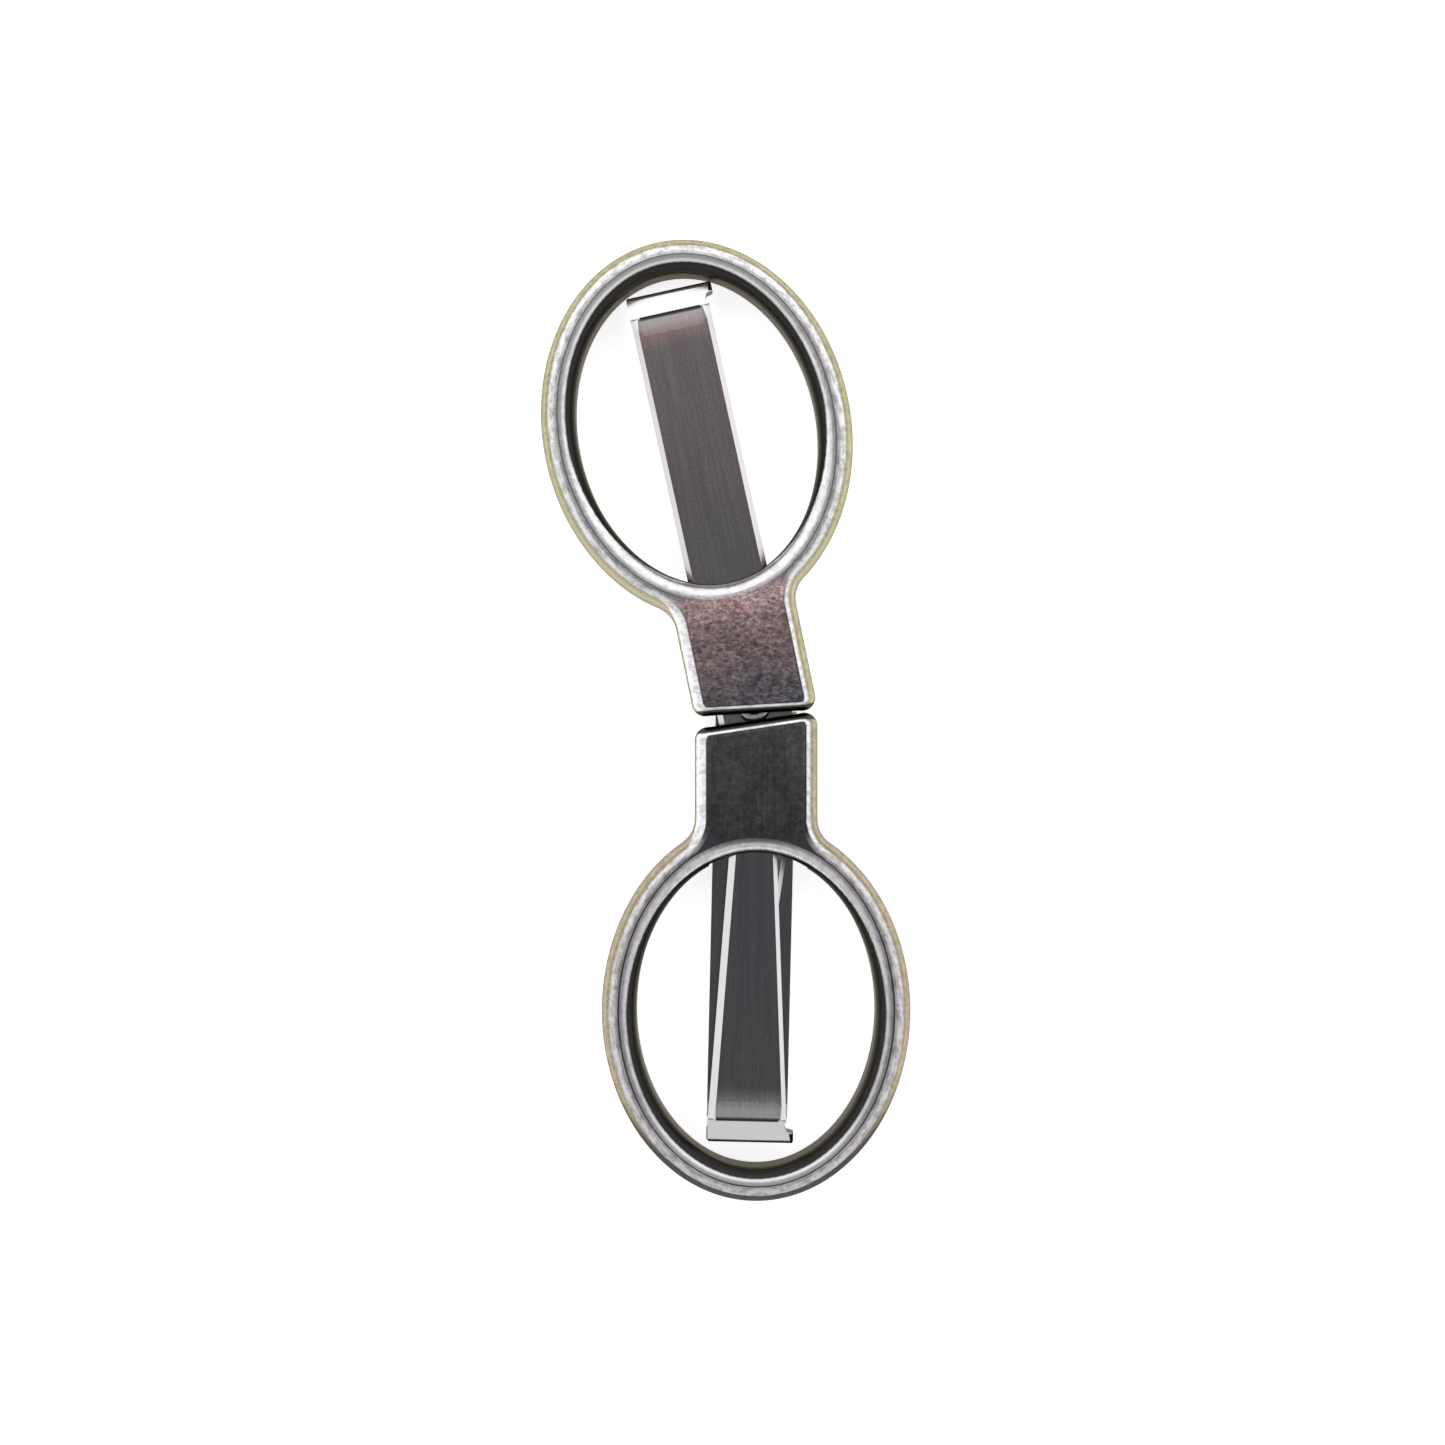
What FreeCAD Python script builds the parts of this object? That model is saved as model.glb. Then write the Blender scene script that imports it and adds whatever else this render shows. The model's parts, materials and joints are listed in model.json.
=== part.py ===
"""Folding pocket scissors, stowed: two ring handles end to end over two short blades.

Millimetres. The object lies flat: +Z is up, +Y is its long axis, and the blades turn about a vertical rivet.

A half is a handle and a strip. It is modelled in a frame of its own, with the rivet's axis at the origin, the
tang and the handle towards -Y and the blade towards +Y. Half B is placed as it is, and half A is turned over.
The handles are the same casting. The strips differ only in how far along they were folded.
"""
import FreeCAD, Part

import math
import os

from FreeCAD import Placement, Rotation, Vector

# ---- handle: one zinc die casting -------------------------------------------------------------------------
HANDLE_THICKNESS = 5.0
RING_HALF_WIDTH = 12.8
RING_HALF_LENGTH = 15.8
HOLE_HALF_WIDTH = 9.95
HOLE_HALF_LENGTH = 13.0
RING_TO_MOUTH = 24.09          # ring centre to the middle of the shank's slanted end
SHANK_HALF_WIDTH = 5.1
MOUTH_SLANT_DEG = 8.5
NECK_RADIUS = 2.5              # in plan, where the shank runs into the ring
MOUTH_CORNER_RADIUS = 1.1      # in plan
RIM_ROUNDING = 1.35            # long edges of the casting, front and back
MOUTH_ROUNDING = 1.0           # edges of the slanted end
SHANK_ALLOWANCE = 6.0          # the shank is first made this much too long, then cut at the slant

# ---- flat slot through the shank, for both strips ---------------------------------------------------------
SLOT_LEFT = -3.9
SLOT_RIGHT = 4.25
LIP_RIGHT = 3.68               # the mouth is narrower on the right, and its lip stops the tab
LIP_LENGTH = 1.2
LIP_ROOT_RADIUS = 0.2
SLOT_FRONT = 1.74              # height above the middle of the handle
SLOT_BACK = 0.93               # depth below it
RECESS_LENGTH = 3.5            # the slot is as deep behind as in front here, to pass over the rivet's heads

# ---- strip: blade, tang, fold and tapered leaf, stamped in one piece ---------------------------------------
STRIP_THICKNESS = 0.75
PLANE_CLEARANCE = 0.02         # from the middle plane, where the two halves rub, to each strip
TANG_HALF_WIDTH = 3.36
TANG_SHIFT = 0.2               # the tang's centre line passes the rivet this far to the right
FOLD_END_A = -35.4             # far end of each fold, along the tang: folded by hand, a little differently
FOLD_END_B = -36.3
LEAF_GAP = 0.84                # between the two leaves, where the other blade lies
CREST_FROM_END = 2.0
FLAT_FROM_END = 3.2
CREST_HEIGHT = 0.1             # how far the fold swells above each leaf
CREST_RADIUS_INSIDE = 0.6
CREST_RADIUS_OUTSIDE = 0.9
FLAT_BLEND_RADIUS = 3.0        # where the swelling runs into the flat of a leaf
THROAT_FROM_END = 1.2          # bottom of the gap between the leaves
THROAT_HEIGHT = 0.1
THROAT_RADIUS = 0.04
NOSE_HEIGHT = 0.5              # flat of the fold's far end
NOSE_RADIUS = 0.4
NOSE_SHOULDER_RADIUS = 0.5
NOSE_SHOULDER_SETBACK = 0.1
DENT_DEPTH = 0.07              # pressed into each face beside the fold: deepest at the fold, fading inwards
DENT_LENGTH = 1.5
DENT_MARGIN = 0.62             # from the leaf's edges
DENT_WALL = 0.14               # width of its steep side, at the crest
DENT_CORNER_RADIUS = 0.35
LEAF_FREE_END = -8.0
LEAF_HALF_WIDTH_AT_FREE_END = 1.72
LEAF_HALF_WIDTH_AT_FOLD = 3.26
TAB_REACH = 0.5                # beyond the tang's right edge
TAB_HEIGHT = 0.9
TAB_BEVEL_WIDTH = 0.5
TAB_BEVEL_DEPTH = 0.8
RELIEF_DEPTH = 0.3             # notch between the tab and the tang's edge
RELIEF_LENGTH = 0.7
TANG_BEVEL_WIDTH = 0.45
LEAF_LEFT_BEVEL_WIDTH = 0.58
LEAF_RIGHT_BEVEL_WIDTH = 0.36
BEVEL_DEPTH = 0.26

# ---- blade ------------------------------------------------------------------------------------------------
BLADE_TIP = (-7.55, 31.2)
TIP_WIDTH = 0.5
TIP_RADIUS = 0.3
EDGE_HEEL = (-2.72, 4.3)       # where the cutting edge starts
SPINE_BEND = (0.03, 12.63)
SPINE_BEND_RADIUS = 12.0
SHOULDER = (3.56, 0.5)         # where the right side of the strip turns into the spine
SHOULDER_RADIUS = 4.0
CHOIL = (-2.27, 3.4)           # notch that frees the heel of the cutting edge
CHOIL_RADIUS = 0.42
BLADE_ROOT = 2.3               # where the left side of the tang ends
BLADE_ROOT_RADIUS = 0.6
SPINE_BEVEL_WIDTH = 0.37
GRIND_WIDTH = 1.3              # of the bevel behind the cutting edge
EDGE_LAND = 0.08               # thickness left at the cutting edge

# ---- rivet ------------------------------------------------------------------------------------------------
RIVET_RADIUS = 1.0
RIVET_CLEARANCE = 0.03         # radial, in the half that turns
HEAD_RADIUS = 1.45
HEAD_HEIGHT = 0.5
HEAD_ROUNDING = 0.4
HEAD_CLEARANCE = 0.02
RIVET_BORE_RADIUS = 0.62
RIVET_BORE_DEPTH = 1.2
BORE_MOUTH_ROUNDING = 0.2
DOME_RADIUS = 1.6

# ---- where the pieces lie when stowed ---------------------------------------------------------------------
TANG_B_TURN = -1.3             # degrees about the rivet
TANG_A_TURN = 12.4
HANDLE_B_CENTRE = (0.17, -25.27)
HANDLE_B_TURN = 0.0
HANDLE_A_CENTRE = (-4.74, 22.92)
HANDLE_A_TURN = 11.8


# ---- shared geometry --------------------------------------------------------------------------------------
def plan(u, v):
    """A point of a plan outline."""
    return Vector(u, v, 0)


def profile(u, v):
    """A point of a side profile: u along the strip, v up."""
    return Vector(0, u, v)


def outline(corners, to_space=plan):
    """Closed face through (u, v) or (u, v, radius) corners, with an arc at each corner that has a radius."""
    points = [Vector(corner[0], corner[1], 0) for corner in corners]
    arcs = []
    for i, corner in enumerate(corners):
        point = points[i]
        radius = corner[2] if len(corner) > 2 else 0
        if not radius:
            arcs.append((point, None, point))
            continue
        back = (points[i - 1] - point).normalize()
        on = (points[(i + 1) % len(points)] - point).normalize()
        half_angle = math.acos(back.dot(on)) / 2
        setback = radius / math.tan(half_angle)
        middle = point + (back + on).normalize() * (radius / math.sin(half_angle) - radius)
        arcs.append((point + back * setback, middle, point + on * setback))
    edges = []
    for i, (start, middle, end) in enumerate(arcs):
        if middle:
            spots = [to_space(spot.x, spot.y) for spot in (start, middle, end)]
            edges.append(Part.Arc(*spots).toShape())
        following = arcs[(i + 1) % len(arcs)][0]
        if (following - end).Length > 1e-6:
            line = Part.LineSegment(to_space(end.x, end.y), to_space(following.x, following.y))
            edges.append(line.toShape())
    return Part.Face(Part.Wire(edges))


def slab(corners, low, high):
    """Plan outline, extruded from low to high."""
    face = outline(corners)
    face.translate(Vector(0, 0, low))
    return face.extrude(Vector(0, 0, high - low))


def elliptical_slab(half_width, half_length, half_height):
    ellipse = Part.Ellipse(Vector(0, half_length, 0), Vector(half_width, 0, 0), Vector(0, 0, 0))
    face = Part.Face(Part.Wire([ellipse.toShape()]))
    face.translate(Vector(0, 0, -half_height))
    return face.extrude(Vector(0, 0, 2 * half_height))


def edge_bevel(start, end, width, depth, surface, up):
    """Wedge that bevels one plan edge of a sheet.

    The edge runs from start to end, with the sheet on its left. The bevel is width across, on the face at
    height surface whose outward side is up (1 or -1), and depth down the edge.
    """
    along = plan(*end) - plan(*start)
    length = along.Length
    overrun = 0.6              # how far the wedge's face runs past the bevel, as a share of it
    clear = 1.0                # how far the wedge stands out beyond the sheet
    wedge = Part.Face(Part.makePolygon([
        Vector(-width * (1 + overrun), 0, depth * overrun),
        Vector(width * overrun, 0, -depth * (1 + overrun)),
        Vector(width + clear, 0, clear),
        Vector(-width * (1 + overrun), 0, depth * overrun),
    ]))
    wedge = wedge.extrude(Vector(0, length, 0))
    if up < 0:
        wedge = wedge.mirror(Vector(0, 0, 0), Vector(0, 0, 1))
    turn = math.degrees(math.atan2(along.y, along.x)) - 90
    wedge.Placement = Placement(Vector(start[0], start[1], surface), Rotation(Vector(0, 0, 1), turn))
    return wedge


# ---- handle -----------------------------------------------------------------------------------------------
def mouth_height(x):
    """Where the shank's slanted end is, above the ring's centre."""
    return RING_TO_MOUTH + x * math.tan(math.radians(MOUTH_SLANT_DEG))


def on_rim(edge):
    """True for an edge that lies in the casting's front or back face."""
    box = edge.BoundBox
    return box.ZLength < 1e-6 and abs(abs(box.ZMin) - HANDLE_THICKNESS / 2) < 1e-6


def make_handle():
    """Ring centre at the origin, shank towards +Y."""
    half = HANDLE_THICKNESS / 2
    shank_length = RING_TO_MOUTH + SHANK_ALLOWANCE
    shank_corner = Vector(-SHANK_HALF_WIDTH, 0, -half)
    casting = elliptical_slab(RING_HALF_WIDTH, RING_HALF_LENGTH, half)
    casting = casting.fuse(Part.makeBox(2 * SHANK_HALF_WIDTH, shank_length, HANDLE_THICKNESS, shank_corner))
    casting = casting.removeSplitter()
    uprights = [edge for edge in casting.Edges if edge.BoundBox.ZLength > half]
    necks = [edge for edge in uprights if 0 < edge.CenterOfMass.y < RING_HALF_LENGTH
             and abs(abs(edge.CenterOfMass.x) - SHANK_HALF_WIDTH) < 1e-3]
    casting = casting.makeFillet(NECK_RADIUS, necks)
    casting = casting.cut(elliptical_slab(HOLE_HALF_WIDTH, HOLE_HALF_LENGTH, HANDLE_THICKNESS))
    rims = [edge for edge in casting.Edges if on_rim(edge) and edge.CenterOfMass.y < shank_length - 1]
    casting = casting.makeFillet(RIM_ROUNDING, rims)

    # the slanted end, with rounded corners, is cut from the long shank
    casting = casting.common(slab(handle_envelope(), -half, half))
    end_edges = [edge for edge in casting.Edges
                 if edge.CenterOfMass.y > mouth_height(-SHANK_HALF_WIDTH) - MOUTH_CORNER_RADIUS
                 and abs(edge.CenterOfMass.z) > half - RIM_ROUNDING and edge.BoundBox.XLength > 0.1]
    casting = casting.makeFillet(MOUTH_ROUNDING, end_edges)
    return casting.cut(make_slot())


def handle_envelope():
    """Plan that holds the whole ring loosely and the shank exactly."""
    wide = RING_HALF_WIDTH + 1
    low = -RING_HALF_LENGTH - 1
    step = RING_HALF_LENGTH + 3
    right, left = SHANK_HALF_WIDTH, -SHANK_HALF_WIDTH
    return [
        (-wide, low),
        (wide, low),
        (wide, step),
        (right, step),
        (right, mouth_height(right), MOUTH_CORNER_RADIUS),
        (left, mouth_height(left), MOUTH_CORNER_RADIUS),
        (left, step),
        (-wide, step),
    ]


def make_slot():
    """The space inside the shank, from the ring's hole to the mouth."""
    inside_hole = HOLE_HALF_LENGTH - 4
    past_mouth = RING_TO_MOUTH + 3
    slot = slab([
        (SLOT_LEFT, inside_hole),
        (SLOT_RIGHT, inside_hole),
        (SLOT_RIGHT, mouth_height(SLOT_RIGHT) - LIP_LENGTH, LIP_ROOT_RADIUS),
        (LIP_RIGHT, mouth_height(LIP_RIGHT) - LIP_LENGTH),
        (LIP_RIGHT, past_mouth),
        (SLOT_LEFT, past_mouth),
    ], -SLOT_BACK, SLOT_FRONT)
    recess = slab([
        (SLOT_LEFT, mouth_height(SLOT_LEFT) - RECESS_LENGTH),
        (LIP_RIGHT, mouth_height(LIP_RIGHT) - RECESS_LENGTH),
        (LIP_RIGHT, past_mouth),
        (SLOT_LEFT, past_mouth),
    ], -SLOT_FRONT, SLOT_FRONT)
    return slot.fuse(recess).removeSplitter()


# ---- strip with the blade ---------------------------------------------------------------------------------
# heights of the two leaves' faces, above the plane where the halves rub
TANG_TOP = -PLANE_CLEARANCE
TANG_BOTTOM = TANG_TOP - STRIP_THICKNESS
LEAF_BOTTOM = TANG_TOP + LEAF_GAP
LEAF_TOP = LEAF_BOTTOM + STRIP_THICKNESS
FOLD_MIDDLE = (TANG_BOTTOM + LEAF_TOP) / 2
TANG_LEFT = TANG_SHIFT - TANG_HALF_WIDTH
TANG_RIGHT = TANG_SHIFT + TANG_HALF_WIDTH


def strip_profile(fold_end):
    """Side view of the folded strip: the tang and blade are the low leaf, the tapered leaf is above it."""
    blade_end = BLADE_TIP[1] + 2
    crest = fold_end + CREST_FROM_END
    flat = fold_end + FLAT_FROM_END
    throat = fold_end + THROAT_FROM_END
    shoulder = fold_end + NOSE_SHOULDER_SETBACK
    return outline([
        (blade_end, TANG_TOP),
        (flat, TANG_TOP, FLAT_BLEND_RADIUS),
        (crest, TANG_TOP - CREST_HEIGHT, CREST_RADIUS_INSIDE),
        (throat, FOLD_MIDDLE - THROAT_HEIGHT / 2, THROAT_RADIUS),
        (throat, FOLD_MIDDLE + THROAT_HEIGHT / 2, THROAT_RADIUS),
        (crest, LEAF_BOTTOM + CREST_HEIGHT, CREST_RADIUS_INSIDE),
        (flat, LEAF_BOTTOM, FLAT_BLEND_RADIUS),
        (LEAF_FREE_END, LEAF_BOTTOM, 0.2),
        (LEAF_FREE_END, LEAF_TOP, 0.3),
        (flat, LEAF_TOP, FLAT_BLEND_RADIUS),
        (crest, LEAF_TOP + CREST_HEIGHT, CREST_RADIUS_OUTSIDE),
        (shoulder, FOLD_MIDDLE + STRIP_THICKNESS, NOSE_SHOULDER_RADIUS),
        (fold_end, FOLD_MIDDLE + NOSE_HEIGHT / 2, NOSE_RADIUS),
        (fold_end, FOLD_MIDDLE - NOSE_HEIGHT / 2, NOSE_RADIUS),
        (shoulder, FOLD_MIDDLE - STRIP_THICKNESS, NOSE_SHOULDER_RADIUS),
        (crest, TANG_BOTTOM - CREST_HEIGHT, CREST_RADIUS_OUTSIDE),
        (flat, TANG_BOTTOM, FLAT_BLEND_RADIUS),
        (blade_end, TANG_BOTTOM),
    ], profile)


def tab_corners(fold_end, edge_x):
    """Right side of the fold, from its end up to the edge of a leaf: the stop tab and its relief notch."""
    tip_x = TANG_RIGHT + TAB_REACH
    notch_x = TANG_RIGHT - RELIEF_DEPTH
    tab_top = fold_end + TAB_HEIGHT
    return [
        (tip_x, fold_end, 0.25),
        (tip_x, tab_top),
        (notch_x + 0.2, tab_top + 0.15, 0.3),
        (min(notch_x, edge_x), tab_top + RELIEF_LENGTH, 0.25),
        (edge_x, tab_top + RELIEF_LENGTH + 0.3),
    ]


def tang_outline(fold_end):
    """Plan of the low leaf: tang, rivet zone and blade."""
    tip_x, tip_y = BLADE_TIP
    return [
        (TANG_LEFT, fold_end, 0.3),
        *tab_corners(fold_end, TANG_RIGHT),
        (TANG_RIGHT, SHOULDER[1], SHOULDER_RADIUS),
        (*SPINE_BEND, SPINE_BEND_RADIUS),
        (tip_x + TIP_WIDTH, tip_y - 2 * TIP_RADIUS, TIP_RADIUS),
        (tip_x + 0.1, tip_y + TIP_RADIUS / 2, 0.1),
        (tip_x, tip_y - TIP_RADIUS, TIP_RADIUS),
        EDGE_HEEL,
        (*CHOIL, CHOIL_RADIUS),
        (TANG_LEFT, BLADE_ROOT, BLADE_ROOT_RADIUS),
    ]


def leaf_outline(fold_end):
    """Plan of the tapered leaf, which narrows towards the rivet."""
    free, fold = LEAF_HALF_WIDTH_AT_FREE_END, LEAF_HALF_WIDTH_AT_FOLD
    free_end = LEAF_FREE_END + 0.01
    return [
        (TANG_SHIFT - fold, fold_end, 0.3),
        *tab_corners(fold_end, TANG_SHIFT + fold),
        (TANG_SHIFT + free, free_end, 0.8),
        (TANG_SHIFT - free, free_end, 0.8),
        (TANG_SHIFT - fold, fold_end + CREST_FROM_END),
    ]


def fold_dent(fold_end, surface, up):
    """Cutter for the shallow dent beside the fold, in the face at height surface (up is 1 or -1)."""
    crest = fold_end + CREST_FROM_END
    fade = crest + DENT_LENGTH
    floor = surface - up * DENT_DEPTH
    over = surface + up * 2 * CREST_HEIGHT
    cutter = outline([
        (crest - DENT_WALL, over),
        (crest, floor),
        (fade, surface),
        (fade, over),
    ], profile)
    half_width = LEAF_HALF_WIDTH_AT_FOLD - DENT_MARGIN
    left, right = TANG_SHIFT - half_width, TANG_SHIFT + half_width
    cutter.translate(Vector(left, 0, 0))
    cutter = cutter.extrude(Vector(right - left, 0, 0))
    radius = DENT_CORNER_RADIUS
    near = crest - DENT_WALL
    rounded = [(left, near, radius), (right, near, radius), (right, fade, radius), (left, fade, radius)]
    return cutter.common(slab(rounded, surface - 1, surface + 1))


def strip_bevels(fold_end):
    """Bevelled edges that face outwards: start, end, width, depth, surface, up."""
    free, fold = LEAF_HALF_WIDTH_AT_FREE_END, LEAF_HALF_WIDTH_AT_FOLD
    bevel_end = fold_end + CREST_FROM_END
    tab_top = fold_end + TAB_HEIGHT
    tab_tip = TANG_RIGHT + TAB_REACH
    leaf_end = LEAF_FREE_END + 0.5
    tip_x, tip_y = BLADE_TIP
    spine_start = (SHOULDER[0] - 0.15, SHOULDER[1] + 0.5)
    spine_end = (tip_x + TIP_WIDTH, tip_y - 2 * TIP_RADIUS)
    tang_left = ((TANG_LEFT, BLADE_ROOT - BLADE_ROOT_RADIUS), (TANG_LEFT, bevel_end))
    tang_right = ((TANG_RIGHT, bevel_end), (TANG_RIGHT, SHOULDER[1] - 0.4))
    leaf_left = ((TANG_SHIFT - free, leaf_end), (TANG_SHIFT - fold, bevel_end))
    leaf_right = ((TANG_SHIFT + fold, bevel_end), (TANG_SHIFT + free, leaf_end))
    tab = ((tab_tip, fold_end), (tab_tip, tab_top))
    return [
        (*tang_left, TANG_BEVEL_WIDTH, BEVEL_DEPTH, TANG_BOTTOM, -1),
        (*tang_right, TANG_BEVEL_WIDTH, BEVEL_DEPTH, TANG_BOTTOM, -1),
        (spine_start, SPINE_BEND, SPINE_BEVEL_WIDTH, BEVEL_DEPTH, TANG_BOTTOM, -1),
        (SPINE_BEND, spine_end, SPINE_BEVEL_WIDTH, BEVEL_DEPTH, TANG_BOTTOM, -1),
        (*leaf_left, LEAF_LEFT_BEVEL_WIDTH, BEVEL_DEPTH, LEAF_TOP, 1),
        (*leaf_right, LEAF_RIGHT_BEVEL_WIDTH, BEVEL_DEPTH, LEAF_TOP, 1),
        (*tab, TAB_BEVEL_WIDTH, TAB_BEVEL_DEPTH, TANG_BOTTOM, -1),
        (*tab, TAB_BEVEL_WIDTH, TAB_BEVEL_DEPTH, LEAF_TOP, 1),
        ((tip_x, tip_y + 0.5), EDGE_HEEL, GRIND_WIDTH, STRIP_THICKNESS - EDGE_LAND, TANG_BOTTOM, -1),
    ]


def make_strip(fold_end):
    """Blade, tang and folded leaf in one piece, rivet hole not yet made."""
    blank_half_width = 12
    blank = strip_profile(fold_end)
    blank.translate(Vector(-blank_half_width, 0, 0))
    blank = blank.extrude(Vector(2 * blank_half_width, 0, 0))
    split = TANG_TOP + LEAF_GAP / 2
    lower = slab(tang_outline(fold_end), TANG_BOTTOM - 1, split)
    upper = slab(leaf_outline(fold_end), split, LEAF_TOP + 1)
    strip = blank.common(lower.fuse(upper))
    for bevel in strip_bevels(fold_end):
        strip = strip.cut(edge_bevel(*bevel))
    strip = strip.cut(fold_dent(fold_end, LEAF_TOP, 1))
    return strip.cut(fold_dent(fold_end, TANG_BOTTOM, -1))


def with_rivet_hole(strip, radius):
    hole = Part.makeCylinder(radius, 2 * STRIP_THICKNESS + 1, Vector(0, 0, -STRIP_THICKNESS - 0.5))
    return strip.cut(hole)


# ---- rivet ------------------------------------------------------------------------------------------------
def rounded_disc(radius, low, round_at):
    """A head's disc, HEAD_HEIGHT thick, with the edge at height round_at rounded."""
    disc = Part.makeCylinder(radius, HEAD_HEIGHT, Vector(0, 0, low))
    edges = [edge for edge in disc.Edges if edge.Closed and abs(edge.CenterOfMass.z - round_at) < 1e-6]
    return disc.makeFillet(HEAD_ROUNDING, edges)


def make_rivet():
    """Semi-tubular: a rolled rim round an open bore in front, and a low dome behind."""
    back = -PLANE_CLEARANCE - STRIP_THICKNESS
    front = HEAD_CLEARANCE - back
    top = front + HEAD_HEIGHT
    dome_low = back - HEAD_HEIGHT
    shank = Part.makeCylinder(RIVET_RADIUS, front - back, Vector(0, 0, back))
    head = rounded_disc(HEAD_RADIUS, front, top)
    dome = rounded_disc(DOME_RADIUS, dome_low, dome_low)
    rivet = shank.fuse([head, dome]).removeSplitter()
    rivet = rivet.cut(Part.makeCylinder(RIVET_BORE_RADIUS, RIVET_BORE_DEPTH + 1,
                                        Vector(0, 0, top - RIVET_BORE_DEPTH)))
    mouth = [edge for edge in rivet.Edges
             if edge.Closed and abs(edge.CenterOfMass.z - top) < 1e-6
             and abs(edge.BoundBox.XLength - 2 * RIVET_BORE_RADIUS) < 1e-3]
    return rivet.makeFillet(BORE_MOUTH_ROUNDING, mouth)


# ---- placing ----------------------------------------------------------------------------------------------
def placed(shape, turned_over, turn_deg, centre=(0, 0)):
    """Turned over about its own X axis if asked, then turned about Z, then moved."""
    rotation = Rotation(Vector(0, 0, 1), turn_deg)
    if turned_over:
        rotation = rotation.multiply(Rotation(Vector(1, 0, 0), 180))
    piece = shape.copy()
    piece.Placement = Placement(Vector(centre[0], centre[1], 0), rotation)
    return piece


def make_parts():
    handle = make_handle()
    blade_a = with_rivet_hole(make_strip(FOLD_END_A), RIVET_RADIUS + RIVET_CLEARANCE)
    blade_b = with_rivet_hole(make_strip(FOLD_END_B), RIVET_RADIUS)
    parts = {
        "handle_a": placed(handle, True, HANDLE_A_TURN, HANDLE_A_CENTRE),
        "handle_b": placed(handle, False, HANDLE_B_TURN, HANDLE_B_CENTRE),
        "blade_a": placed(blade_a, True, TANG_A_TURN),
        "blade_b": placed(blade_b, False, TANG_B_TURN),
        "pivot_rivet": make_rivet(),
    }
    # the origin is the middle of the bounding box's bottom face
    box = Part.makeCompound([parts["handle_a"], parts["handle_b"]]).optimalBoundingBox(False)
    shift = Vector(-(box.XMin + box.XMax) / 2, -(box.YMin + box.YMax) / 2, -box.ZMin)
    for shape in parts.values():
        shape.translate(shift)
    return parts, shift


PARTS, PIVOT = make_parts()
os.makedirs("parts", exist_ok=True)
for name, shape in PARTS.items():
    shape.exportStep("parts/" + name + ".step")
print("rivet axis at", [round(value, 4) for value in PIVOT])
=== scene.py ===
"""Looks of the stowed folding scissors: plated castings, rolled steel strips and a dull rivet.

Metres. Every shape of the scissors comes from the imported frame. This script adds the materials, the floor,
the backdrop, the light and the camera.
"""

import json
import math
from types import SimpleNamespace

import bpy
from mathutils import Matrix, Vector


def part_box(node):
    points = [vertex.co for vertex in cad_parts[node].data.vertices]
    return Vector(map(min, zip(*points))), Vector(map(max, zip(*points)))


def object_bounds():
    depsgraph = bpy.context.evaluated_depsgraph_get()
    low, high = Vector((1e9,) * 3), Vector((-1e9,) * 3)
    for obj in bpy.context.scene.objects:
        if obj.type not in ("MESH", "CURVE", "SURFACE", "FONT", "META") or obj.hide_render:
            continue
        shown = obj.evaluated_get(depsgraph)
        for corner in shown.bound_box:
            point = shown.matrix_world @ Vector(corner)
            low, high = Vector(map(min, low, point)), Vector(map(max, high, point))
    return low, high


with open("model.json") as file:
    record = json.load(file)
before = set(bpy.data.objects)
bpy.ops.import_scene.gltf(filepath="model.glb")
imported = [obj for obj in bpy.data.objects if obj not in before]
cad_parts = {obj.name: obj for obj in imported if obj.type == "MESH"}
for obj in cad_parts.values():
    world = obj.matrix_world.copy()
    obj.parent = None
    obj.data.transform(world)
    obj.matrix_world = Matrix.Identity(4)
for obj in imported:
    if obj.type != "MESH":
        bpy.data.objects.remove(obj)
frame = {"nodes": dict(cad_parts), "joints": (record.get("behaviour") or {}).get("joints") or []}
cad_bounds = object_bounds()

MM = 0.001
QUARTER = math.pi / 2
WHITE = (1, 1, 1)
JOINTS = {joint["name"]: joint for joint in frame["joints"]}
PIVOT = Vector(JOINTS["blade_pivot"]["pos_m"])


def slide_angle(joint_name):
    """Direction of a slide, as an angle about Z."""
    axis = JOINTS[joint_name]["axis"]
    return math.atan2(axis[1], axis[0])


def slope_cosine(degrees):
    return math.cos(math.radians(degrees))


def slope_sine(degrees):
    return math.sin(math.radians(degrees))


def dimmed(colour, factor):
    return tuple(value * factor for value in colour)


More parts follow.
